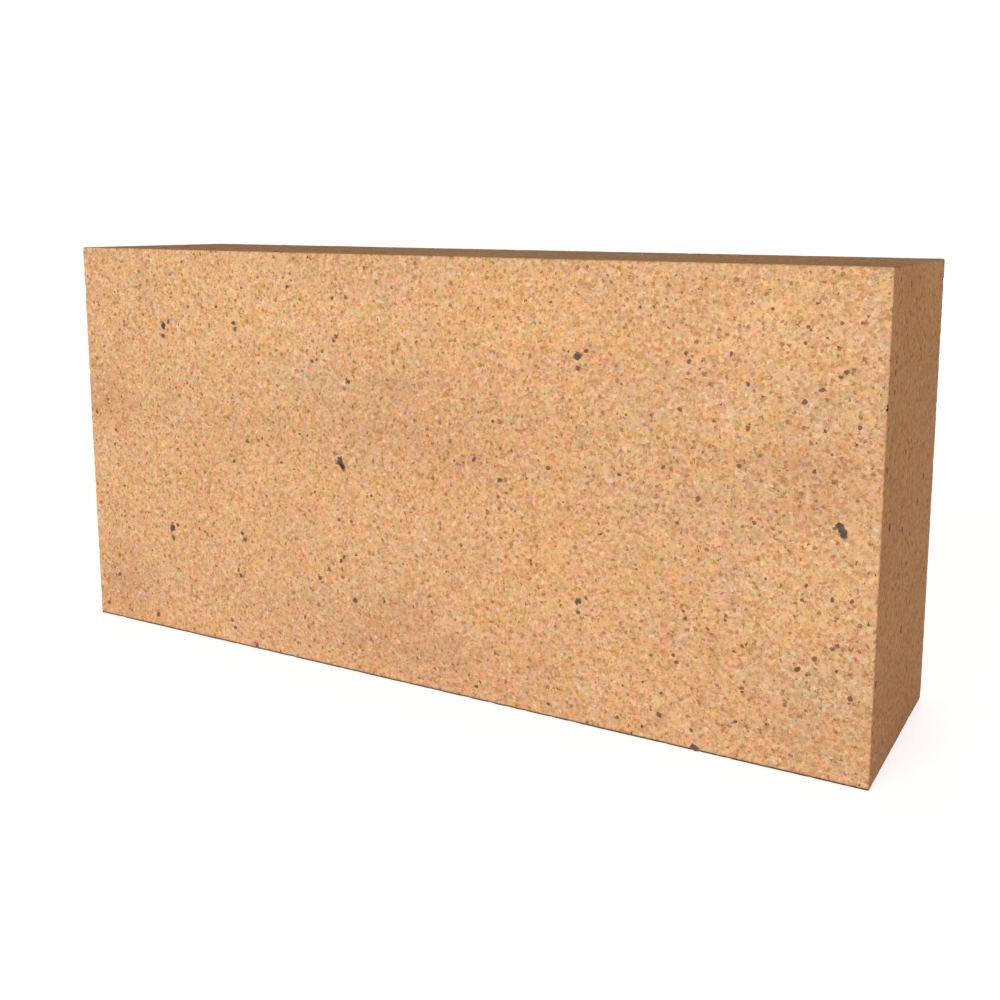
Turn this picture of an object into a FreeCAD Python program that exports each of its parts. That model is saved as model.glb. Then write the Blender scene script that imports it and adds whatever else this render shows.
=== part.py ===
import FreeCAD, Part
import os

# A pressed and fired fireclay brick, one solid piece, standing on one of its long narrow faces.
# All sizes are in millimetres. X runs along the brick, Y runs through it from one broad bed face
# to the other, and Z is up. The origin is on the floor, in the middle of the face it stands on.

LENGTH = 230.0     # from end face to end face
WIDTH = 110.0      # across a bed face, upright as the brick stands here
THICKNESS = 56.0   # from bed face to bed face
ARRIS_RADIUS = 0.5  # every edge is crisp, and only just eased by the press mould and the firing


def bed_outline(length, width, y):
    """The rectangle of a bed face, standing on its long side, at depth y."""
    half = length / 2.0
    corners = [
        FreeCAD.Vector(-half, y, 0.0),
        FreeCAD.Vector(half, y, 0.0),
        FreeCAD.Vector(half, y, width),
        FreeCAD.Vector(-half, y, width),
    ]
    return Part.Face(Part.makePolygon(corners + corners[:1]))


def pressed_block(length, width, thickness):
    """The brick as it leaves the press: a bed face carried straight through its thickness."""
    bed = bed_outline(length, width, -thickness / 2.0)
    return bed.extrude(FreeCAD.Vector(0.0, thickness, 0.0))


def ease_arrises(block, radius):
    """Rounds the twelve arrises, and so the eight corners, by the same small radius."""
    return block.makeFillet(radius, block.Edges)


firebrick = ease_arrises(pressed_block(LENGTH, WIDTH, THICKNESS), ARRIS_RADIUS)

if not firebrick.isValid() or len(firebrick.Solids) != 1:
    raise ValueError("the brick has to be one sound solid")

os.makedirs("parts", exist_ok=True)
firebrick.exportStep("parts/firebrick.step")
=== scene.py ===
import math
import random

import bpy
import numpy as np
from mathutils import Matrix, Vector


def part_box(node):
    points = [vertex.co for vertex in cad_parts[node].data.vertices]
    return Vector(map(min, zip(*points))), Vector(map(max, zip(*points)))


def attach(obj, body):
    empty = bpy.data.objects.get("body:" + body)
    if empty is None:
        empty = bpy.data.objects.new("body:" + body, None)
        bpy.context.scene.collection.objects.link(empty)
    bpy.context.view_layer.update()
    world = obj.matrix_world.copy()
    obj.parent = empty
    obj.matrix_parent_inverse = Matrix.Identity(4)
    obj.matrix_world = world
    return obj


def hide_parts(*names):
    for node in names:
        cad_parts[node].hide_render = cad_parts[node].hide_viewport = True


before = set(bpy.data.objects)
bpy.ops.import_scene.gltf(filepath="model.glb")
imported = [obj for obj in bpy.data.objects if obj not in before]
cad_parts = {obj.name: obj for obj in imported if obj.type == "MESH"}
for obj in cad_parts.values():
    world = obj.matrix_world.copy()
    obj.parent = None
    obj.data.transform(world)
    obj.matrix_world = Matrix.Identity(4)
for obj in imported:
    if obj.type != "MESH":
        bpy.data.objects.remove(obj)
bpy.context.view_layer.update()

# A fired fireclay brick on its long narrow face, on a pale studio floor.
# Everything is in metres, in the brick's own frame: X along it, Y through it, Z up.
MM = 0.001

BRICK_LOW, BRICK_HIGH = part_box("firebrick")
FRONT_BED = BRICK_LOW.y
RIGHT_END = BRICK_HIGH.x

# The body's skin: arrises eased in a few steps, two closer lines beside each, then even small quads.
# Points within SAME_POINT are one. Nibbles bite into what lies within their reach of an arris.
ARRIS_RADIUS = 0.5 * MM
ARRIS_STEPS = 3
LINES_BESIDE_ARRIS = (0.35 * MM, 0.95 * MM)
SKIN_STEP = 1.02 * MM
SAME_POINT = 0.001 * MM
NIBBLE_REACH = 1.6 * MM

# The fireclay's grains, from soft lumps down to grit. Their outlines wander in waves, and grog takes
# a share of its colour from the way it leans. The surface is rubbed into soft bumps.
LUMP_SIZE = 2.5 * MM
GROG_SIZE = 1.05 * MM
RUB_SIZE = 0.8 * MM
SAND_SIZE = 0.56 * MM
GRIT_SIZE = 0.3 * MM
OUTLINE_WAVE = 0.7 * MM
OUTLINE_REACH = 1.0 * MM
GROG_LEAN = 0.34
CLAY_ROUGHNESS = (0.82, 0.94)
RUB_DEPTH = 0.12 * MM

# The crust of the fused iron spots
CRUST_SIZE = 0.5 * MM
CRUST_DEPTH = 0.05 * MM
CRUST_ROUGHNESS = (0.45, 0.75)
CRUST_GLOSS = 0.1

# The photograph's camera. Its turn is in degrees about X, then Y, then Z, and PICTURE_MIDDLE is the
# pixel that it points at.
PICTURE_SIDE = 1000.0
SENSOR_WIDTH = 36.0
CAMERA_PLACE = Vector((163.94, -263.88, 119.66)) * MM
CAMERA_TURN = (81.335, -0.265, 28.544)
LENS_IN_PIXELS = 1169.8
PICTURE_MIDDLE = (540.0, 393.6)
NEAREST_SEEN = 0.01

# The studio. The floor adds its lift only to what is seen, from near the brick to far off.
SKY_LIGHT = (0.263, 0.253, 0.246)
FLOOR_REACH = 4.0
FLOOR_SHADE = 0.8
FLOOR_LIFT = (0.73, 0.84)
LIFT_REACH = (0.2, 0.9)
# Each lamp's name, where it stands, how wide and how tall it is, its watts and its tint
LAMPS = [
    ("front_softbox", (-0.60, -3.00, 0.45), (1.8, 0.9), 67.6, (1.0, 1.0, 1.0)),
    ("right_fill", (1.30, -0.10, 0.12), (0.6, 0.3), 2.55, (1.0, 0.76, 0.65)),
    ("back_softbox", (-0.70, 2.00, 0.20), (1.2, 0.4), 30.0, (1.0, 1.0, 1.0)),
]

# Kiln marks on the front bed face: the corners of each one's box, in the photograph's pixels,
# then how grey it is (below zero is paler), and how warm (below zero is bluish).
KILN_MARKS = [
    (300, 405, 480, 455, 1.6, 0.1), (360, 370, 435, 400, 1.9, 0.1), (430, 435, 500, 475, 0.5, 0.1),
    (85, 370, 130, 425, 1.8, 0.5), (130, 405, 290, 435, 0.9, 0.0), (450, 385, 540, 425, 0.2, 0.2),
    (540, 455, 760, 490, 0.2, 0.0), (750, 450, 870, 490, 2.0, 0.0), (740, 490, 860, 525, 1.1, 0.1),
    (300, 615, 480, 670, 1.8, -0.25), (360, 590, 440, 620, 1.3, -0.7), (100, 545, 150, 620, 1.7, 0.2),
    (130, 580, 290, 615, 0.2, -0.3), (640, 695, 720, 730, -0.9, -0.6), (750, 710, 850, 770, 0.9, 0.0),
    (285, 365, 340, 395, 0.6, -1.2), (780, 385, 870, 435, 0.5, -1.0), (285, 580, 345, 610, 0.7, -1.4),
    (770, 660, 865, 715, 0.1, -0.9), (720, 400, 760, 440, -0.9, -0.6), (660, 480, 700, 540, 0.8, -0.4),
    (700, 560, 860, 640, -0.8, -0.1), (450, 265, 620, 365, -1.1, 0.7), (470, 500, 620, 600, -0.4, 0.5),
    (150, 265, 290, 350, -0.6, 0.2), (230, 275, 430, 350, -0.9, 0.0), (690, 300, 860, 380, -1.4, 0.0),
]
# What one step of grey, and one of warmth, adds to the clay's red, green and blue
GREY_STEP = (-0.055, -0.075, -0.065)
WARM_STEP = (0.03, -0.05, -0.14)
# The kiln's clouds of shade are this many times longer than they are tall
CLOUD_FLATNESS = 2.2

# Kiln marks on the other faces lie at random, with half lengths and half heights in millimetres
HIDDEN_MARKS = 90
HIDDEN_MARK_HALF_LENGTHS = (6.0, 26.0)
HIDDEN_MARK_HALF_HEIGHTS = (4.0, 10.0)
HIDDEN_MARK_GREYS = (-1.2, 1.2)
HIDDEN_MARK_WARMTHS = (-0.8, 0.5)
MARK_SEED = 7

# Painted shade all round the foot: the clay is greyer and less warm there, with a painted shadow as a
# thin dark line along the lowest arrises
PAINTED_FOOT_SHADE_GREY = 0.55
PAINTED_FOOT_SHADE_WARMTH = -0.15
PAINTED_FOOT_SHADE_REACH = 24.0 * MM
# A painted shadow along the lowest arrises: how high it reaches, how steeply it fades, and its colour
PAINTED_FOOT_SHADOW_HEIGHT = 0.8 * MM
PAINTED_FOOT_SHADOW_STEEPNESS = 1.7
PAINTED_FOOT_SHADOW_COLOUR = (44, 30, 22)

# The ends wear a thin rub of the clay's own dust
END_DUST = 0.25
END_DUST_SHADE = (229, 177, 128)

# Iron spots that the photograph shows on the front bed face: where each one is, in its pixels,
# and how wide it is, in millimetres.
SPOTS_UPPER_LEFT = [
    (163, 326, 2.0), (168, 322, 1.1), (163, 336, 1.3), (233, 323, 1.2), (235, 329, 1.2),
    (287, 287, 1.0), (332, 298, 1.1), (345, 297, 0.9), (364, 267.5, 0.9), (335.5, 336, 1.1),
    (333.6, 340.5, 0.9), (322, 351, 1.0), (312, 361, 1.1), (348, 382, 1.3), (97, 412, 1.1),
    (116, 430, 1.0), (115, 444, 1.0), (247, 441, 1.1), (234, 461, 0.9), (188, 307, 0.9),
    (216, 307, 0.9),
]
SPOTS_UPPER_RIGHT = [
    (577, 356, 1.9), (586, 351, 1.0), (578, 368, 1.1), (686, 353.5, 0.95), (689, 361, 0.95),
    (731, 354, 0.9), (679.5, 409, 1.0), (748, 384, 0.9), (748, 429, 0.9), (773, 309, 0.8),
    (842, 323, 0.75), (863, 323, 0.8), (808.5, 326.5, 0.9), (811, 330, 0.7), (805, 402, 1.05),
    (822, 390, 1.0), (841, 377, 0.95), (846.5, 372.5, 0.95), (860, 428, 1.0), (805, 343, 0.8),
]
SPOTS_MIDDLE = [
    (340, 461.5, 2.4), (342, 466.3, 1.5), (343, 469, 1.0), (336, 463.5, 0.6), (840.2, 526.9, 1.8),
    (842.2, 531.2, 1.6), (843.8, 535.4, 1.7), (834.5, 528.6, 0.9), (474, 459, 1.05), (500, 480, 1.25),
    (498, 497, 0.8), (493, 421, 0.8), (433, 478, 0.8), (371, 495.5, 0.8), (548, 468, 1.0),
    (619, 474.5, 0.9), (663, 467, 0.9), (698, 499, 1.1), (739, 466, 0.9), (677, 523, 0.8),
    (754, 523, 0.9), (531, 564, 0.8), (461, 545, 0.8),
]
SPOTS_LOWER_LEFT = [
    (172.8, 528, 1.8), (178, 525, 1.1), (173.5, 537.5, 1.4), (242.3, 533.3, 1.2), (245, 539.5, 1.4),
    (320, 578, 1.2), (329, 569, 1.0), (341, 561, 1.1), (344, 557, 0.9), (241, 575.5, 1.2),
    (238.7, 569.7, 1.0), (158.3, 614.3, 1.3), (119.7, 574, 1.1), (109.2, 602, 1.2), (257, 645, 1.2),
    (355, 600, 1.4), (232.5, 620, 1.1), (235.5, 627.5, 1.2), (205, 531.3, 0.8), (339, 520, 0.9),
    (351, 521, 0.9),
]
SPOTS_LOWER_RIGHT = [
    (578, 602, 1.6), (586, 598, 1.0), (578, 612.5, 1.2), (495, 653, 0.9), (476.5, 686.5, 1.0),
    (548, 704, 0.9), (617, 717.5, 0.9), (587, 722.5, 0.8), (659, 715, 1.1), (683, 611, 0.8),
    (685, 618.5, 0.9), (726, 616, 0.9), (766, 579, 0.8), (806, 586, 0.8), (802, 600, 0.8),
    (832, 600, 0.9), (852, 602, 0.9), (837, 646, 0.9), (832, 649.5, 0.95), (814, 659, 1.2),
    (797, 669, 1.3), (742, 646, 0.9), (676, 662, 1.0), (742, 688, 0.9), (850, 699, 1.2),
    (735, 722, 0.9), (694, 748, 1.7), (673, 655, 0.9), (691, 730, 0.8),
]
# The same for the right end face, which the camera sees at a slant
SPOTS_RIGHT_END = [
    (896, 373, 1.4), (887, 409, 1.5), (890, 528, 1.6), (876, 684, 1.5), (912, 284, 1.2),
    (895, 392, 0.9), (906, 452, 0.9),
]

# Iron spots on the other faces lie at random, with widths in millimetres. Wide ones are rare.
HIDDEN_FACE_SPOTS = 260
HIDDEN_SPOT_NARROWEST = 0.8
HIDDEN_SPOT_SPREAD = 1.6
HIDDEN_SPOT_RARITY = 5
# The wider a spot, the darker it is, and each is a little longer than it is wide
DARK_SPOT_WIDTH = 2.0
SPOT_TONE_SPREAD = 0.15
SPOT_LENGTH_SHARES = (1.0, 1.4)
BEAD_SIDES = 10
BEAD_RINGS = 4
SCATTER_SEED = 41


# Colours

# White light. A colour that it multiplies stays as it is.
WHITE = (1.0, 1.0, 1.0, 1.0)


def colour(red, green, blue):
    """A colour as a screen shows it, 0 to 255, turned into the light it stands for."""
    def light(level):
        share = level / 255.0
        return share / 12.92 if share <= 0.04045 else ((share + 0.055) / 1.055) ** 2.4
    return (light(red), light(green), light(blue), 1.0)


# Nodes

def put(tree, kind, takes=None, **settings):
    """Adds a node with these settings, and joins or sets its inputs by name or number."""
    node = tree.nodes.new(kind)
    for name, value in settings.items():
        setattr(node, name, value)
    for name, value in (takes or {}).items():
        if isinstance(value, bpy.types.NodeSocket):
            tree.links.new(value, node.inputs[name])
        else:
            node.inputs[name].default_value = value
    return node


def calc(tree, operation, *values):
    """A sum, product or the like of numbers that may come from sockets."""
    takes = dict(enumerate(values))
    return put(tree, "ShaderNodeMath", takes, operation=operation).outputs[0]


def vector_calc(tree, operation, *values):
    """The same for vectors."""
    takes = dict(enumerate(values))
    node = put(tree, "ShaderNodeVectorMath", takes, operation=operation)
    return node.outputs["Value"] if operation == "LENGTH" else node.outputs[0]


def stretched(tree, vector, amount):
    """A vector times a number that may come from a socket."""
    node = put(tree, "ShaderNodeVectorMath", {0: vector, "Scale": amount}, operation="SCALE")
    return node.outputs[0]


def soft_step(tree, value, start, end, low=0.0, high=1.0):
    """Goes smoothly from low, at start, to high, at end."""
    takes = {"Value": value, "From Min": start, "From Max": end, "To Min": low, "To Max": high}
    node = put(tree, "ShaderNodeMapRange", takes, interpolation_type="SMOOTHSTEP")
    return node.outputs["Result"]


def three_numbers(tree, colour_or_vector):
    """The three numbers that a colour or a vector is made of."""
    return put(tree, "ShaderNodeSeparateXYZ", {0: colour_or_vector}).outputs


def mix(tree, share, first, second, way="MIX"):
    """The first colour, with a share of the second mixed in."""
    # The node has sockets of the same names for other kinds of value, so these go by number
    takes = {0: share, 6: first, 7: second}
    return put(tree, "ShaderNodeMix", takes, data_type="RGBA", blend_type=way).outputs[2]


def multiplied(tree, first, second):
    """The first colour, tinted by the second."""
    return mix(tree, 1.0, first, second, "MULTIPLY")


def palette(tree, tone, *stops):
    """A colour picked by tone from stops of (place, colour)."""
    node = put(tree, "ShaderNodeValToRGB", {"Fac": tone})
    ramp = node.color_ramp
    ramp.interpolation = "LINEAR"
    while len(ramp.elements) < len(stops):
        ramp.elements.new(0.5)
    for element, (place, shade) in zip(ramp.elements, stops):
        element.position = place
        element.color = shade
    return node.outputs["Color"]


def new_group(name, kind, takes, gives):
    """An empty node group with named sockets, and its two end nodes."""
    tree = bpy.data.node_groups.new(name, kind)
    for label, socket, value in takes:
        made = tree.interface.new_socket(label, in_out="INPUT", socket_type="NodeSocket" + socket)
        if value is not None:
            made.default_value = value
    for label, socket in gives:
        tree.interface.new_socket(label, in_out="OUTPUT", socket_type="NodeSocket" + socket)
    return tree, tree.nodes.new("NodeGroupInput").outputs, tree.nodes.new("NodeGroupOutput")


def give(tree, exit_node, **values):
    """Joins values to what a group gives out, by name."""
    for label, value in values.items():
        tree.links.new(value, exit_node.inputs[label])


def placed(tree, group, **takes):
    """Places a shader node group in a material, with its own values. In a label, _ is a space."""
    node = put(tree, "ShaderNodeGroup", node_tree=group)
    for label, value in takes.items():
        target = node.inputs[label.replace("_", " ")]
        if isinstance(value, bpy.types.NodeSocket):
            tree.links.new(value, target)
        else:
            target.default_value = value
    return node.outputs


# Shader node groups that the finishes share

def make_ragged_place():
    """Moves each point a little, so that grains lose their round or straight outlines."""
    tree, takes, exit_node = new_group(
        "ragged_place", "ShaderNodeTree",
        [("Place", "Vector", None), ("Wave Length", "Float", 0.7 * MM), ("Reach", "Float", 0.4 * MM)],
        [("Place", "Vector")])
    noise = put(tree, "ShaderNodeTexNoise",
                {"Vector": takes["Place"], "Scale": calc(tree, "DIVIDE", 1.0, takes["Wave Length"]),
                 "Detail": 1.0})
    push = vector_calc(tree, "SUBTRACT", noise.outputs["Color"], (0.5, 0.5, 0.5))
    push = stretched(tree, push, takes["Reach"])
    give(tree, exit_node, Place=vector_calc(tree, "ADD", takes["Place"], push))
    return tree


def make_packed_grains():
    """Grains pressed tight against each other. Two tones, each random from grain to grain."""
    tree, takes, exit_node = new_group(
        "packed_grains", "ShaderNodeTree",
        [("Place", "Vector", None), ("Grain Size", "Float", 1.0 * MM)],
        [("Tone", "Float"), ("Hue", "Float")])
    cells = put(tree, "ShaderNodeTexVoronoi",
                {"Vector": takes["Place"], "Scale": calc(tree, "DIVIDE", 1.0, takes["Grain Size"])})
    tones = three_numbers(tree, cells.outputs["Color"])
    give(tree, exit_node, Tone=tones[0], Hue=tones[1])
    return tree


def make_loose_grains():
    """Single grains that lie apart in the clay. Each has its own tone and its own size."""
    tree, takes, exit_node = new_group(
        "loose_grains", "ShaderNodeTree",
        [("Place", "Vector", None), ("Spacing", "Float", 3.0 * MM), ("Share", "Float", 0.5),
         ("Smallest", "Float", 0.3 * MM), ("Largest", "Float", 1.0 * MM),
         ("Edge", "Float", 0.2 * MM), ("Strength", "Float", 0.8), ("Grit", "Float", 0.5),
         ("Raggedness", "Float", 0.8 * MM)],
        [("Grain", "Float"), ("Tone", "Float")])
    cells = put(tree, "ShaderNodeTexVoronoi",
                {"Vector": takes["Place"], "Scale": calc(tree, "DIVIDE", 1.0, takes["Spacing"])})
    tones = three_numbers(tree, cells.outputs["Color"])
    away = calc(tree, "MULTIPLY", cells.outputs["Distance"], takes["Spacing"])
    uneven = calc(tree, "MULTIPLY", calc(tree, "SUBTRACT", takes["Grit"], 0.5), takes["Raggedness"])
    away = calc(tree, "ADD", away, uneven)
    # Small grains are more common than large ones
    spread = calc(tree, "SUBTRACT", takes["Largest"], takes["Smallest"])
    width = calc(tree, "MULTIPLY_ADD", calc(tree, "POWER", tones[0], 2.0), spread, takes["Smallest"])
    radius = calc(tree, "MULTIPLY", width, 0.5)
    inside = soft_step(tree, away, calc(tree, "ADD", radius, takes["Edge"]), radius)
    there = calc(tree, "LESS_THAN", tones[2], takes["Share"])
    strength = calc(tree, "MULTIPLY", there, takes["Strength"])
    give(tree, exit_node, Grain=calc(tree, "MULTIPLY", inside, strength), Tone=tones[1])
    return tree


def make_kiln_shade():
    """The kiln's slow changes of shade: the marks given to it, with painted shade at the foot among
    them, and clouds drawn out along the brick.
    """
    tree, takes, exit_node = new_group(
        "kiln_shade", "ShaderNodeTree",
        [("Place", "Vector", None), ("Grey", "Float", 0.0), ("Warmth", "Float", 0.0),
         ("Cloud Length", "Float", 24.0 * MM), ("Flatness", "Float", 2.0),
         ("Cloud Strength", "Float", 1.8)],
        [("Shade", "Color")])
    flat = put(tree, "ShaderNodeCombineXYZ", {"X": 1.0, "Y": 1.0, "Z": takes["Flatness"]})
    place = vector_calc(tree, "MULTIPLY", takes["Place"], flat.outputs[0])
    noise = put(tree, "ShaderNodeTexNoise",
                {"Vector": place, "Scale": calc(tree, "DIVIDE", 1.0, takes["Cloud Length"]),
                 "Detail": 3.0, "Roughness": 0.55})
    clouds = three_numbers(tree, noise.outputs["Color"])
    shade = WHITE[:3]
    for given, cloud, step in (("Grey", clouds[0], GREY_STEP), ("Warmth", clouds[1], WARM_STEP)):
        drift = calc(tree, "MULTIPLY", calc(tree, "SUBTRACT", cloud, 0.5), takes["Cloud Strength"])
        amount = calc(tree, "ADD", takes[given], drift)
        shade = vector_calc(tree, "ADD", shade, stretched(tree, step, amount))
    give(tree, exit_node, Shade=shade)
    return tree


RAGGED_PLACE = make_ragged_place()
PACKED_GRAINS = make_packed_grains()
LOOSE_GRAINS = make_loose_grains()
KILN_SHADE = make_kiln_shade()


# Finishes

def new_finish(name):
    """An empty material, its shader, and the place on the piece, in metres."""
    finish = bpy.data.materials.new(name)
    finish.use_nodes = True
    tree = finish.node_tree
    tree.nodes.clear()
    shader = put(tree, "ShaderNodeBsdfPrincipled")
    ending = put(tree, "ShaderNodeOutputMaterial")
    tree.links.new(shader.outputs["BSDF"], ending.inputs["Surface"])
    place = put(tree, "ShaderNodeTexCoord").outputs["Object"]
    return finish, tree, shader, place


def piece_value(tree, name):
    """A number that the piece's mesh keeps at each of its points."""
    return put(tree, "ShaderNodeAttribute", attribute_name=name).outputs["Fac"]


def make_fireclay():
    """The fired clay of the body: grog, sand and grit, the kiln's own shades over them, and painted
    shade and a painted shadow at the foot.
    """
    finish, tree, shader, place = new_finish("fireclay")

    ragged = placed(tree, RAGGED_PLACE, Place=place, Wave_Length=OUTLINE_WAVE,
                    Reach=OUTLINE_REACH)["Place"]
    sand = placed(tree, PACKED_GRAINS, Place=ragged, Grain_Size=SAND_SIZE)
    grog = placed(tree, PACKED_GRAINS, Place=ragged, Grain_Size=GROG_SIZE)

    # Grains of grog that fired to their own shades: rusty, tan, sandy and cream
    clay = palette(
        tree, grog["Tone"],
        (0.0, colour(204, 150, 107)), (0.12, colour(215, 164, 119)), (0.3, colour(225, 176, 130)),
        (0.55, colour(230, 183, 137)), (0.8, colour(233, 189, 143)), (1.0, colour(240, 201, 159)))
    # Each leans to salmon, to sand yellow, or to a greyish olive
    lean = palette(
        tree, grog["Hue"],
        (0.0, colour(236, 172, 133)), (0.25, colour(233, 177, 129)), (0.5, colour(230, 184, 122)),
        (0.75, colour(225, 186, 133)), (1.0, colour(214, 181, 149)))
    clay = mix(tree, GROG_LEAN, clay, lean)

    # Wider soft patches over the grains, towards rust and straw or away from them
    lump = put(tree, "ShaderNodeTexNoise",
               {"Vector": place, "Scale": 1.0 / LUMP_SIZE, "Detail": 2.0, "Roughness": 0.6})
    lump_tones = three_numbers(tree, lump.outputs["Color"])
    rust = palette(
        tree, lump_tones[0],
        (0.32, (1.09, 0.963, 0.922, 1.0)), (0.5, WHITE), (0.68, (0.925, 1.038, 1.052, 1.0)))
    straw = palette(
        tree, lump_tones[1],
        (0.32, (1.0, 1.025, 0.862, 1.0)), (0.5, WHITE), (0.68, (1.0, 0.975, 1.14, 1.0)))
    clay = multiplied(tree, multiplied(tree, clay, rust), straw)

    # Fine sand over everything, from dark pores to bright quartz, and grit that is finer still
    sand_shade = palette(
        tree, sand["Tone"],
        (0.0, (0.755, 0.692, 0.60, 1.0)), (0.12, (0.895, 0.86, 0.808, 1.0)),
        (0.4, (0.992, 0.988, 0.984, 1.0)), (0.85, (1.043, 1.055, 1.076, 1.0)),
        (1.0, (1.115, 1.15, 1.21, 1.0)))
    clay = multiplied(tree, clay, sand_shade)
    grit = put(tree, "ShaderNodeTexNoise",
               {"Vector": place, "Scale": 1.0 / GRIT_SIZE, "Detail": 1.0}).outputs["Fac"]
    grit_shade = palette(
        tree, grit,
        (0.3, (0.93, 0.905, 0.875, 1.0)), (0.5, WHITE), (0.7, (1.048, 1.06, 1.082, 1.0)))
    clay = multiplied(tree, clay, grit_shade)

    # The kiln's grey and warmth on the mesh also hold the painted shade towards the floor
    kiln = placed(tree, KILN_SHADE, Place=place, Grey=piece_value(tree, "kiln_grey_and_painted_shade"),
                  Warmth=piece_value(tree, "kiln_warmth_and_painted_shade"), Flatness=CLOUD_FLATNESS)
    clay = multiplied(tree, clay, kiln["Shade"])

    def loose(shift, *shades, **values):
        """Scatters one kind of loose grain over the clay. The shift gives it places of its own."""
        grains = placed(tree, LOOSE_GRAINS, Place=vector_calc(tree, "ADD", ragged, shift),
                        Grit=grit, **values)
        return mix(tree, grains["Grain"], clay, palette(tree, grains["Tone"], *shades))

    # Pale grog, then tan grains close together, then rust-brown ones, and last a few near black
    clay = loose((0.0, 0.0, 0.0), (0.2, colour(246, 208, 158)), (0.5, colour(228, 200, 162)),
                 (0.8, colour(250, 216, 176)), (0.95, colour(238, 218, 192)), Spacing=1.75 * MM,
                 Share=0.6, Smallest=0.2 * MM, Largest=0.85 * MM, Edge=0.18 * MM, Strength=0.72)
    clay = loose((0.31, 0.17, 0.23), (0.1, colour(186, 126, 84)), (0.35, colour(196, 140, 90)),
                 (0.6, colour(184, 134, 90)), (0.8, colour(196, 120, 80)), Spacing=1.05 * MM,
                 Share=0.85, Smallest=0.25 * MM, Largest=0.75 * MM, Edge=0.22 * MM, Strength=0.6)
    clay = loose((0.57, 0.43, 0.37), (0.1, colour(172, 103, 58)), (0.35, colour(148, 89, 48)),
                 (0.5, colour(133, 93, 68)), (0.7, colour(172, 117, 60)), (0.9, colour(164, 91, 62)),
                 Spacing=1.7 * MM, Share=0.7, Smallest=0.35 * MM, Largest=0.85 * MM,
                 Edge=0.25 * MM, Strength=0.68)
    clay = loose((0.83, 0.61, 0.71), (0.2, colour(114, 68, 34)), (0.5, colour(84, 63, 48)),
                 (0.8, colour(124, 61, 36)), Spacing=2.2 * MM, Share=0.34, Smallest=0.3 * MM,
                 Largest=0.6 * MM, Edge=0.12 * MM, Strength=0.88)

    # The ends are calmer: their grains lie under a thin rub of the clay's own dust
    clay = mix(tree, piece_value(tree, "end_dust"), clay, colour(*END_DUST_SHADE))

    # Painted shadow: the lowest arrises are darkened where they meet the floor
    clay = mix(tree, piece_value(tree, "painted_foot_shadow"), clay, colour(*PAINTED_FOOT_SHADOW_COLOUR))
    tree.links.new(clay, shader.inputs["Base Color"])
    roughness = soft_step(tree, sand["Tone"], 0.0, 1.0, *CLAY_ROUGHNESS)
    tree.links.new(roughness, shader.inputs["Roughness"])
    shader.inputs["Specular IOR Level"].default_value = 0.0

    rub = put(tree, "ShaderNodeTexNoise", {"Vector": place, "Scale": 1.0 / RUB_SIZE, "Detail": 2.0})
    bump = put(tree, "ShaderNodeBump",
               {"Strength": 0.5, "Distance": RUB_DEPTH, "Height": rub.outputs["Fac"]})
    tree.links.new(bump.outputs["Normal"], shader.inputs["Normal"])
    return finish


def make_fused_iron():
    """The iron spots: from brown to slate by their tone, with rust in patches and round the rim."""
    finish, tree, shader, place = new_finish("fused_iron")
    crust = put(tree, "ShaderNodeTexNoise",
                {"Vector": place, "Scale": 1.0 / CRUST_SIZE, "Detail": 2.0}).outputs["Fac"]
    shade = palette(
        tree, piece_value(tree, "iron_tone"),
        (0.35, colour(154, 108, 84)), (0.55, colour(130, 96, 84)), (0.75, colour(98, 84, 82)),
        (0.9, colour(75, 77, 82)))
    rust = colour(150, 106, 76)
    shade = mix(tree, soft_step(tree, crust, 0.5, 0.75, 0.0, 0.5), shade, rust)
    core = calc(tree, "ADD", piece_value(tree, "iron_core"), crust)
    shade = mix(tree, soft_step(tree, core, 0.5, 1.4), rust, shade)
    tree.links.new(shade, shader.inputs["Base Color"])
    roughness = soft_step(tree, crust, 0.3, 0.7, *CRUST_ROUGHNESS)
    tree.links.new(roughness, shader.inputs["Roughness"])
    shader.inputs["Specular IOR Level"].default_value = CRUST_GLOSS
    bump = put(tree, "ShaderNodeBump", {"Strength": 0.5, "Distance": CRUST_DEPTH, "Height": crust})
    tree.links.new(bump.outputs["Normal"], shader.inputs["Normal"])
    return finish


FIRECLAY = make_fireclay()
FUSED_IRON = make_fused_iron()


# Geometry node trees

def kept_in_box(tree, takes, place):
    """Stops each point at the brick's own faces, so that nothing stands proud of them."""
    place = vector_calc(tree, "MAXIMUM", place, takes["Box Low"])
    return vector_calc(tree, "MINIMUM", place, takes["Box High"])


BOX_TAKES = [("Box Low", "Vector", tuple(BRICK_LOW)), ("Box High", "Vector", tuple(BRICK_HIGH))]


def finished(tree, takes, exit_node, geometry):
    """Ends a tree with its geometry made real and given its finish."""
    solid = put(tree, "GeometryNodeRealizeInstances", {"Geometry": geometry})
    dressed = put(tree, "GeometryNodeSetMaterial",
                  {"Geometry": solid.outputs[0], "Material": takes["Finish"]})
    give(tree, exit_node, Geometry=dressed.outputs[0])


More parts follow.
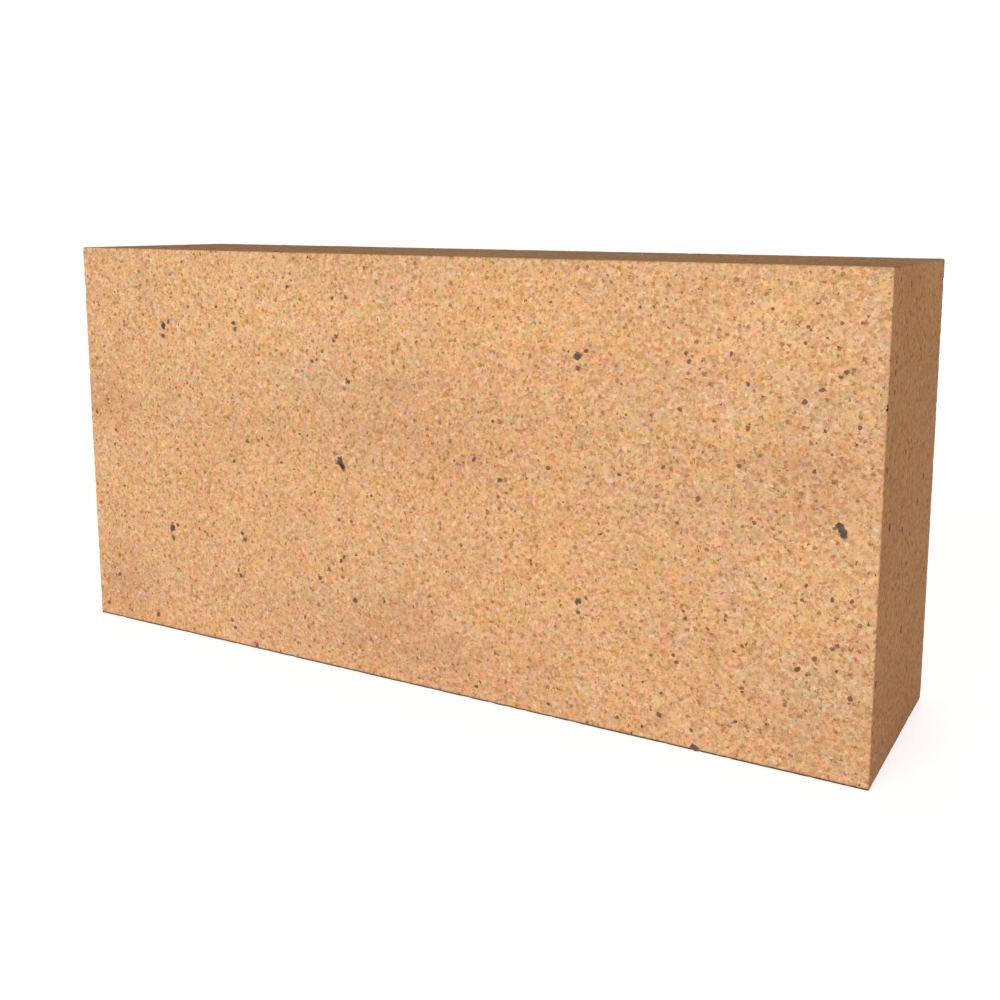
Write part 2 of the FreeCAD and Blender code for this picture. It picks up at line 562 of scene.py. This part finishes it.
def make_fired_skin():
    """The brick's skin: slow swells, the bumps of its grains, small pits, and nibbled arrises."""
    tree, takes, exit_node = new_group(
        "fired_skin", "GeometryNodeTree",
        [("Geometry", "Geometry", None), ("Swell Depth", "Float", 0.06 * MM),
         ("Swell Length", "Float", 28.0 * MM), ("Grain Depth", "Float", 0.07 * MM),
         ("Grain Length", "Float", 3.0 * MM), ("Pit Depth", "Float", 0.3 * MM),
         ("Pit Spacing", "Float", 9.0 * MM), ("Pit Share", "Float", 0.35),
         ("Smallest Pit", "Float", 0.1), ("Largest Pit", "Float", 0.26),
         ("Nibble Depth", "Float", 0.16 * MM), ("Nibble Length", "Float", 2.6 * MM),
         ("Seed", "Float", 3.0), ("Finish", "Material", None), *BOX_TAKES],
        [("Geometry", "Geometry")])
    place = put(tree, "GeometryNodeInputPosition").outputs[0]
    facing = put(tree, "GeometryNodeInputNormal").outputs["Normal"]

    def waves(length):
        noise = put(tree, "ShaderNodeTexNoise",
                    {"Vector": place, "W": takes["Seed"], "Scale": calc(tree, "DIVIDE", 1.0, length),
                     "Detail": 2.0}, noise_dimensions="4D")
        return noise.outputs[0]

    swell = calc(tree, "MULTIPLY", waves(takes["Swell Length"]), takes["Swell Depth"])
    grain = calc(tree, "MULTIPLY", waves(takes["Grain Length"]), takes["Grain Depth"])

    pits = put(tree, "ShaderNodeTexVoronoi",
               {"Vector": place, "W": takes["Seed"],
                "Scale": calc(tree, "DIVIDE", 1.0, takes["Pit Spacing"])}, voronoi_dimensions="4D")
    chance = three_numbers(tree, pits.outputs["Color"])
    # A pit's reach is a share of the spacing, and only some of the places have a pit
    reach = soft_step(tree, chance[0], 0.0, 1.0, takes["Smallest Pit"], takes["Largest Pit"])
    bowl = soft_step(tree, pits.outputs["Distance"], reach, 0.0)
    bowl = calc(tree, "MULTIPLY", bowl, calc(tree, "LESS_THAN", chance[2], takes["Pit Share"]))
    pit = calc(tree, "MULTIPLY", bowl, takes["Pit Depth"])

    near_arris = put(tree, "GeometryNodeInputNamedAttribute", {"Name": "near_arris"},
                     data_type="FLOAT").outputs["Attribute"]
    bite = soft_step(tree, waves(takes["Nibble Length"]), 0.52, 0.72)
    nibble = calc(tree, "MULTIPLY", calc(tree, "MULTIPLY", bite, near_arris), takes["Nibble Depth"])

    depth = calc(tree, "ADD", calc(tree, "ADD", swell, grain), calc(tree, "ADD", pit, nibble))
    inward = stretched(tree, facing, calc(tree, "MULTIPLY", depth, -1.0))
    moved = kept_in_box(tree, takes, vector_calc(tree, "ADD", place, inward))
    skin = put(tree, "GeometryNodeSetPosition", {"Geometry": takes["Geometry"], "Position": moved})
    finished(tree, takes, exit_node, skin.outputs[0])
    return tree


def make_iron_grains():
    """A flat, ragged bead of fused iron at each point of the mesh."""
    tree, takes, exit_node = new_group(
        "iron_grains", "GeometryNodeTree",
        [("Geometry", "Geometry", None), ("Thickness", "Float", 0.2 * MM),
         ("Raggedness", "Float", 0.8), ("Ragged Length", "Float", 0.6 * MM),
         ("Finish", "Material", None), *BOX_TAKES],
        [("Geometry", "Geometry")])

    def kept(name, kind):
        return put(tree, "GeometryNodeInputNamedAttribute", {"Name": name},
                   data_type=kind).outputs["Attribute"]

    width = kept("width", "FLOAT")
    half = calc(tree, "MULTIPLY", width, 0.5)
    long_half = calc(tree, "MULTIPLY", half, kept("length_share", "FLOAT"))
    size = put(tree, "ShaderNodeCombineXYZ", {"X": long_half, "Y": half, "Z": takes["Thickness"]})
    turn = put(tree, "FunctionNodeEulerToRotation", {"Euler": kept("turn", "FLOAT_VECTOR")})
    bead = put(tree, "GeometryNodeMeshUVSphere",
               {"Segments": BEAD_SIDES, "Rings": BEAD_RINGS, "Radius": 1.0})
    height = three_numbers(tree, put(tree, "GeometryNodeInputPosition").outputs[0])[2]
    bead = put(tree, "GeometryNodeStoreNamedAttribute",
               {"Geometry": bead.outputs["Mesh"], "Name": "iron_core", "Value": height},
               data_type="FLOAT", domain="POINT")
    points = put(tree, "GeometryNodeMeshToPoints", {"Mesh": takes["Geometry"]})
    grains = put(tree, "GeometryNodeInstanceOnPoints",
                 {"Points": points.outputs[0], "Instance": bead.outputs[0],
                  "Rotation": turn.outputs[0], "Scale": size.outputs[0]})
    loose = put(tree, "GeometryNodeRealizeInstances", {"Geometry": grains.outputs[0]})

    place = put(tree, "GeometryNodeInputPosition").outputs[0]
    noise = put(tree, "ShaderNodeTexNoise",
                {"Vector": place, "Scale": calc(tree, "DIVIDE", 1.0, takes["Ragged Length"]),
                 "Detail": 1.0})
    push = vector_calc(tree, "SUBTRACT", noise.outputs["Color"], (0.5, 0.5, 0.5))
    push = stretched(tree, push, calc(tree, "MULTIPLY", width, takes["Raggedness"]))
    moved = kept_in_box(tree, takes, vector_calc(tree, "ADD", place, push))
    shaped = put(tree, "GeometryNodeSetPosition", {"Geometry": loose.outputs[0], "Position": moved})
    finished(tree, takes, exit_node, shaped.outputs[0])
    return tree


def grown(name, mesh, tree, **values):
    """Runs a geometry node tree on a mesh, and gives the result as a plain piece."""
    seedling = bpy.data.objects.new(name + "_seedling", mesh)
    bpy.context.scene.collection.objects.link(seedling)
    modifier = seedling.modifiers.new(tree.name, "NODES")
    modifier.node_group = tree
    # A modifier knows its inputs by identifier, not by name
    sockets = {item.name: item.identifier for item in tree.interface.items_tree
               if item.item_type == "SOCKET" and item.in_out == "INPUT"}
    for label, value in values.items():
        modifier[sockets[label]] = value
    ready = seedling.evaluated_get(bpy.context.evaluated_depsgraph_get())
    plain = bpy.data.meshes.new_from_object(ready)
    plain.name = name
    seedling.modifiers.clear()
    bpy.data.objects.remove(seedling)
    piece = bpy.data.objects.new(name, plain)
    bpy.context.scene.collection.objects.link(piece)
    return piece


# Places seen in the photograph

def camera_turn():
    """How the photograph's camera is turned."""
    turns = [math.radians(turn) for turn in CAMERA_TURN]
    return (Matrix.Rotation(turns[2], 3, "Z") @ Matrix.Rotation(turns[1], 3, "Y")
            @ Matrix.Rotation(turns[0], 3, "X"))


def seen_on(axis, level, across, down):
    """Where the line of sight through a pixel of the photograph meets one of the brick's faces."""
    sight = camera_turn() @ Vector((across - PICTURE_MIDDLE[0], PICTURE_MIDDLE[1] - down,
                                    -LENS_IN_PIXELS))
    return CAMERA_PLACE + sight * ((level - CAMERA_PLACE[axis]) / sight[axis])


# The brick's body

def hidden_place(draw):
    """A random place on the faces that the photograph hides or shows at a slant, and its facing."""
    span = BRICK_HIGH - BRICK_LOW
    # The axis that each face looks along, and whether it is on the brick's high side
    hidden = [(1, True), (0, False), (0, True), (2, False), (2, True)]
    areas = [span[(axis + 1) % 3] * span[(axis + 2) % 3] for axis, _ in hidden]
    axis, high_side = draw.choices(hidden, areas)[0]
    place = Vector(draw.uniform(BRICK_LOW[way] + MM, BRICK_HIGH[way] - MM) for way in range(3))
    place[axis] = (BRICK_HIGH if high_side else BRICK_LOW)[axis]
    facing = [0, 0, 0]
    facing[axis] = 1 if high_side else -1
    return place, facing


def kiln_marks_and_painted_shade(points):
    """How grey and how warm each point of the skin is: the kiln's marks, and painted shade towards the
    floor.
    """
    on_front = points[:, 1] < FRONT_BED + ARRIS_RADIUS
    # Painted shade: greyer and less warm towards the floor, all round the brick
    painted_foot_shade = np.exp(-(points[:, 2] / PAINTED_FOOT_SHADE_REACH) ** 2)
    grey = PAINTED_FOOT_SHADE_GREY * painted_foot_shade
    warmth = PAINTED_FOOT_SHADE_WARMTH * painted_foot_shade

    def mark(where, middle, reach, greyness, warm):
        """Adds one soft mark, strongest in its middle."""
        share = where * np.exp(-(((points - np.array(middle)) / np.array(reach)) ** 2).sum(1))
        grey[:] += greyness * share
        warmth[:] += warm * share

    for left, top, right, bottom, greyness, warm in KILN_MARKS:
        middle = seen_on(1, FRONT_BED, (left + right) / 2, (top + bottom) / 2)
        half_length = (seen_on(1, FRONT_BED, right, (top + bottom) / 2) - middle).x
        half_height = (seen_on(1, FRONT_BED, (left + right) / 2, top) - middle).z
        mark(on_front, middle, (half_length, half_height, half_height), greyness, warm)

    draw = random.Random(MARK_SEED)
    for _ in range(HIDDEN_MARKS):
        middle, _ = hidden_place(draw)
        half_length = draw.uniform(*HIDDEN_MARK_HALF_LENGTHS) * MM
        half_height = draw.uniform(*HIDDEN_MARK_HALF_HEIGHTS) * MM
        greyness = draw.uniform(*HIDDEN_MARK_GREYS)
        warm = draw.uniform(*HIDDEN_MARK_WARMTHS)
        mark(~on_front, middle, (half_length, half_length, half_height), greyness, warm)
    return grey, warmth


def ruled_lines(low, high):
    """Places of the skin's lines from one arris to the other, close together at both."""
    arc = [ARRIS_RADIUS * (1.0 - math.tan(math.radians(45.0 * (1.0 - step / ARRIS_STEPS))))
           for step in range(ARRIS_STEPS + 1)]
    near = arc + [ARRIS_RADIUS + beside for beside in LINES_BESIDE_ARRIS]
    span = (high - low) - 2.0 * near[-1]
    count = max(1, round(span / SKIN_STEP))
    middle = [near[-1] + span * step / count for step in range(1, count)]
    along = near + middle + [(high - low) - place for place in reversed(near)]
    return np.array([low + place for place in along])


def brick_skin():
    """A closed box of small quads with its arrises eased. Its points keep what the finish reads."""
    low = np.array(BRICK_LOW)
    high = np.array(BRICK_HIGH)
    lines = [ruled_lines(low[axis], high[axis]) for axis in range(3)]
    corners = []
    quads = []
    start = 0
    for axis in range(3):
        across = (axis + 1) % 3
        along = (axis + 2) % 3
        first, second = np.meshgrid(lines[across], lines[along], indexing="ij")
        rows, columns = first.shape
        for high_side, level in ((False, low[axis]), (True, high[axis])):
            grid = np.empty((rows * columns, 3))
            grid[:, axis] = level
            grid[:, across] = first.ravel()
            grid[:, along] = second.ravel()
            index = start + np.arange(rows * columns).reshape(rows, columns)
            ring = [index[:-1, :-1], index[1:, :-1], index[1:, 1:], index[:-1, 1:]]
            if not high_side:
                ring.reverse()
            corners.append(grid)
            quads.append(np.stack([part.ravel() for part in ring], -1))
            start += rows * columns
    points = np.concatenate(corners)
    faces = np.concatenate(quads)

    # The grids of neighbouring faces meet in the same points along each arris
    _, first_seen, same = np.unique(np.round(points / SAME_POINT), axis=0,
                                    return_index=True, return_inverse=True)
    points = points[first_seen]
    faces = same.ravel()[faces]

    # Each point goes to the arris radius from a box that is smaller by that radius all round
    inner = np.clip(points, low + ARRIS_RADIUS, high - ARRIS_RADIUS)
    outward = points - inner
    eased = inner + ARRIS_RADIUS * outward / np.linalg.norm(outward, axis=1, keepdims=True)

    gap = np.minimum(points - low, high - points)
    arris_gap = np.sort(gap, axis=1)[:, 1]
    near = np.clip(1.0 - arris_gap / NIBBLE_REACH, 0.0, 1.0)
    at_side = np.clip(1.0 - gap[:, :2].min(axis=1) / ARRIS_RADIUS, 0.0, 1.0)
    # A painted shadow along the lowest arrises of the sides, fading upwards
    above_foot = points[:, 2] / PAINTED_FOOT_SHADOW_HEIGHT
    painted_foot_shadow = at_side * np.clip(PAINTED_FOOT_SHADOW_STEEPNESS * (1.0 - above_foot), 0.0, 1.0)
    end_dust = END_DUST * np.clip(1.0 - gap[:, 0] / ARRIS_RADIUS, 0.0, 1.0)

    grey, warmth = kiln_marks_and_painted_shade(points)
    mesh = bpy.data.meshes.new("brick_skin")
    mesh.from_pydata(eased.tolist(), [], faces.tolist())
    for name, values in (("near_arris", near), ("painted_foot_shadow", painted_foot_shadow), ("end_dust", end_dust),
                         ("kiln_grey_and_painted_shade", grey), ("kiln_warmth_and_painted_shade", warmth)):
        mesh.attributes.new(name, "FLOAT", "POINT").data.foreach_set(
            "value", values.astype(np.float32))
    mesh.shade_smooth()
    return mesh


# Iron spots

def spot_turn(facing, spin):
    """Euler turns that lay a bead's flat side on a face, spun round in it."""
    up = Vector(facing)
    side = up.orthogonal().normalized()
    side = side @ Matrix.Rotation(spin, 3, up)
    return Matrix((side, up.cross(side), up)).transposed().to_euler()


def spot_places(draw):
    """Every iron spot: its place, turn, width, length share and tone."""
    spots = []

    def add(place, facing, width):
        turn = spot_turn(facing, draw.uniform(0.0, math.tau))
        tone = width / DARK_SPOT_WIDTH + draw.uniform(-SPOT_TONE_SPREAD, SPOT_TONE_SPREAD)
        spots.append((place, turn, width * MM, draw.uniform(*SPOT_LENGTH_SHARES), tone))

    front = (SPOTS_UPPER_LEFT + SPOTS_UPPER_RIGHT + SPOTS_MIDDLE + SPOTS_LOWER_LEFT
             + SPOTS_LOWER_RIGHT)
    for across, down, width in front:
        add(seen_on(1, FRONT_BED, across, down), (0, -1, 0), width)
    for across, down, width in SPOTS_RIGHT_END:
        add(seen_on(0, RIGHT_END, across, down), (1, 0, 0), width)
    for _ in range(HIDDEN_FACE_SPOTS):
        place, facing = hidden_place(draw)
        wider = HIDDEN_SPOT_SPREAD * draw.random() ** HIDDEN_SPOT_RARITY
        add(place, facing, HIDDEN_SPOT_NARROWEST + wider)
    return spots


def spot_mesh():
    """A loose point for each iron spot, which keeps all that its bead needs."""
    spots = spot_places(random.Random(SCATTER_SEED))
    mesh = bpy.data.meshes.new("spot_places")
    mesh.from_pydata([tuple(spot[0]) for spot in spots], [], [])
    for name, column in (("width", 2), ("length_share", 3), ("iron_tone", 4)):
        mesh.attributes.new(name, "FLOAT", "POINT").data.foreach_set(
            "value", [spot[column] for spot in spots])
    mesh.attributes.new("turn", "FLOAT_VECTOR", "POINT").data.foreach_set(
        "vector", [turn for spot in spots for turn in spot[1]])
    return mesh


# The pieces

body = grown("firebrick_body", brick_skin(), make_fired_skin(), Finish=FIRECLAY)
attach(body, "root")
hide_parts("firebrick")

iron_spots = grown("iron_spots", spot_mesh(), make_iron_grains(), Finish=FUSED_IRON)
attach(iron_spots, "root")


# The studio

def make_floor():
    """A wide white floor that takes the brick's shadow."""
    corners = [(along * FLOOR_REACH, through * FLOOR_REACH, 0.0)
               for along, through in ((-1, -1), (1, -1), (1, 1), (-1, 1))]
    mesh = bpy.data.meshes.new("studio_floor")
    mesh.from_pydata(corners, [], [(0, 1, 2, 3)])
    floor = bpy.data.objects.new("studio_floor", mesh)
    bpy.context.scene.collection.objects.link(floor)
    finish, tree, shader, place = new_finish("studio_white")
    shader.inputs["Base Color"].default_value = (FLOOR_SHADE, FLOOR_SHADE, FLOOR_SHADE, 1.0)
    shader.inputs["Roughness"].default_value = 1.0
    shader.inputs["Specular IOR Level"].default_value = 0.0
    shader.inputs["Emission Color"].default_value = WHITE
    # Away from the brick the lamps fall off, so the floor is lifted more there to stay white
    lift = soft_step(tree, vector_calc(tree, "LENGTH", place), *LIFT_REACH, *FLOOR_LIFT)
    tree.links.new(calc(tree, "MULTIPLY", seen_directly(tree), lift),
                   shader.inputs["Emission Strength"])
    mesh.materials.append(finish)


def seen_directly(tree):
    """1 for what the camera sees, itself or in gloss or glass, and 0 for light on the object."""
    path = put(tree, "ShaderNodeLightPath").outputs
    seen = calc(tree, "ADD", path["Is Camera Ray"], path["Is Glossy Ray"])
    return calc(tree, "MINIMUM", calc(tree, "ADD", seen, path["Is Transmission Ray"]), 1.0)


def make_sky():
    """A soft grey light all round, behind a background that is seen as white."""
    sky = bpy.data.worlds.new("studio_sky")
    bpy.context.scene.world = sky
    sky.use_nodes = True
    tree = sky.node_tree
    tree.nodes.clear()
    light = put(tree, "ShaderNodeBackground", {"Color": (*SKY_LIGHT, 1.0), "Strength": 1.0})
    white = put(tree, "ShaderNodeBackground", {"Color": WHITE, "Strength": 1.0})
    either = put(tree, "ShaderNodeMixShader",
                 {0: seen_directly(tree), 1: light.outputs[0], 2: white.outputs[0]})
    ending = put(tree, "ShaderNodeOutputWorld")
    tree.links.new(either.outputs[0], ending.inputs["Surface"])


def make_lamp(name, place, size, watts, tint):
    """A soft lamp, so wide and so tall, that faces the middle of the brick."""
    light = bpy.data.lights.new(name, "AREA")
    light.shape = "RECTANGLE"
    light.size, light.size_y = size
    light.energy = watts
    light.color = tint
    lamp = bpy.data.objects.new(name, light)
    bpy.context.scene.collection.objects.link(lamp)
    middle = (BRICK_LOW + BRICK_HIGH) / 2.0
    lamp.location = place
    lamp.rotation_euler = (middle - Vector(place)).to_track_quat("-Z", "Y").to_euler()
    lamp.visible_camera = False


def make_camera():
    """A camera at the photograph's place, whose picture is the photograph's frame."""
    data = bpy.data.cameras.new("photo_camera")
    data.sensor_width = SENSOR_WIDTH
    data.lens = LENS_IN_PIXELS * SENSOR_WIDTH / PICTURE_SIDE
    data.shift_x = (PICTURE_SIDE / 2.0 - PICTURE_MIDDLE[0]) / PICTURE_SIDE
    data.shift_y = (PICTURE_MIDDLE[1] - PICTURE_SIDE / 2.0) / PICTURE_SIDE
    data.clip_start = NEAREST_SEEN
    camera = bpy.data.objects.new("photo_camera", data)
    camera.location = CAMERA_PLACE
    camera.rotation_euler = [math.radians(turn) for turn in CAMERA_TURN]
    bpy.context.scene.collection.objects.link(camera)
    bpy.context.scene.camera = camera


make_floor()
make_sky()
for lamp in LAMPS:
    make_lamp(*lamp)
make_camera()
bpy.context.scene.view_settings.view_transform = "Standard"
